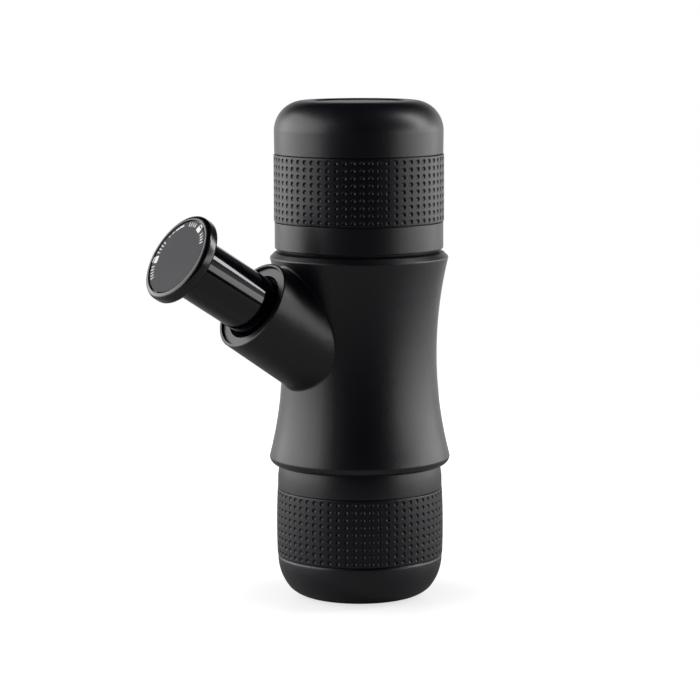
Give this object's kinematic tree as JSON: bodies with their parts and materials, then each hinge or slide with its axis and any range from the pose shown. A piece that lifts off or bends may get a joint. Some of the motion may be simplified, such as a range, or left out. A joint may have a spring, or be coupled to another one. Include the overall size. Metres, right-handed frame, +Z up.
{
  "type": "handheld manual espresso maker",
  "caption": "Handheld espresso maker with a waisted body, a slanted hand pump, a screw-on water tank on top and a cup over the outlet at the bottom.",
  "frame": {"origin": "centre of the cup's flat foot", "axes": "+Z up through cup, body and tank; the pump leans out towards -X in the XZ plane"},
  "size_m": [0.1176, 0.0654, 0.18],
  "materials": {
    "body_plastic": "satin black moulded plastic, fine grain",
    "grip_rubber": "soft black grip with round dimples",
    "gloss_black": "polished black plastic",
    "liner_plastic": "satin dark grey plastic",
    "label_grey": "fine matte grey disc",
    "frame_plastic": "dark grey reinforced plastic",
    "bearing_plastic": "natural acetal",
    "steel": "stainless steel",
    "seal_rubber": "black silicone"
  },
  "bodies": {
    "housing": {"main_housing": "body_plastic", "barrel_liner": "liner_plastic", "guide_bush": "bearing_plastic", "lock_ring": "frame_plastic", "pump_cylinder": "frame_plastic", "return_spring": "steel", "valve_block": "frame_plastic", "inlet_seat": "bearing_plastic", "outlet_seat": "bearing_plastic", "inlet_spring": "steel", "outlet_spring": "steel", "block_screws": "steel", "inlet_tube": "bearing_plastic", "inlet_strainer": "frame_plastic", "vent_valve": "seal_rubber", "tank_neck": "frame_plastic", "chassis_screws": "steel", "brew_head": "frame_plastic", "port_seal": "seal_rubber", "shower_screen": "steel", "shower_screw": "steel", "brew_gasket": "seal_rubber"},
    "pump_rod": {"plunger": "frame_plastic", "plunger_seals": "seal_rubber", "knob_screw": "steel"},
    "knob": {"piston_sleeve": "gloss_black", "piston_knob": "gloss_black", "knob_label_disc": "label_grey"},
    "gasket": {"tank_gasket": "seal_rubber"},
    "tank": {"water_tank": "body_plastic", "tank_grip_band": "grip_rubber"},
    "basket": {"filter_basket": "steel"},
    "spout_head": {"outlet_head": "frame_plastic"},
    "drinking_cup": {"cup": "body_plastic", "cup_grip_band": "grip_rubber", "cup_seal": "seal_rubber"},
    "suction_ball": {"inlet_ball": "steel"},
    "pressure_ball": {"outlet_ball": "steel"}
  },
  "joints": [
    {"name": "pump_stroke", "type": "slide", "parent": "housing", "child": "pump_rod", "axis": [0.848, 0, -0.5299], "range_m": [0, 0.03], "stiffness_N_per_m": 600, "springref_m": -0.005, "deforming": ["return_spring"]},
    {"name": "knob_lock_turn", "type": "hinge", "parent": "pump_rod", "child": "knob", "pos_m": [-0.07221, 0, 0.12562], "axis": [-0.848, 0, 0.5299], "range_deg": [0, 90]},
    {"name": "tank_lift", "type": "slide", "parent": "housing", "child": "gasket", "axis": [0, 0, 1], "range_m": [0, 0.012]},
    {"name": "tank_turn", "type": "hinge", "parent": "gasket", "child": "tank", "pos_m": [0, 0, 0.1268], "axis": [0, 0, 1], "range_deg": [0, 1080]},
    {"name": "basket_drop", "type": "slide", "parent": "housing", "child": "basket", "axis": [0, 0, -1], "range_m": [0, 0.012]},
    {"name": "spout_head_turn", "type": "hinge", "parent": "basket", "child": "spout_head", "pos_m": [0, 0, 0.046], "axis": [0, 0, -1], "range_deg": [0, 1080]},
    {"name": "cup_pull", "type": "slide", "parent": "housing", "child": "drinking_cup", "axis": [0, 0, -1], "range_m": [0, 0.04]},
    {"name": "suction_ball_lift", "type": "slide", "parent": "housing", "child": "suction_ball", "axis": [0, 0, -1], "range_m": [0, 0.0012], "stiffness_N_per_m": 60, "springref_m": -0.001, "deforming": ["inlet_spring"]},
    {"name": "pressure_ball_lift", "type": "slide", "parent": "housing", "child": "pressure_ball", "axis": [0, 0, -1], "range_m": [0, 0.0012], "stiffness_N_per_m": 60, "springref_m": -0.001, "deforming": ["outlet_spring"]}
  ],
  "couplings": [
    {"joint": "tank_lift", "follows": "tank_turn", "m_per_rad": 0.0006366},
    {"joint": "basket_drop", "follows": "spout_head_turn", "m_per_rad": 0.0006366}
  ]
}
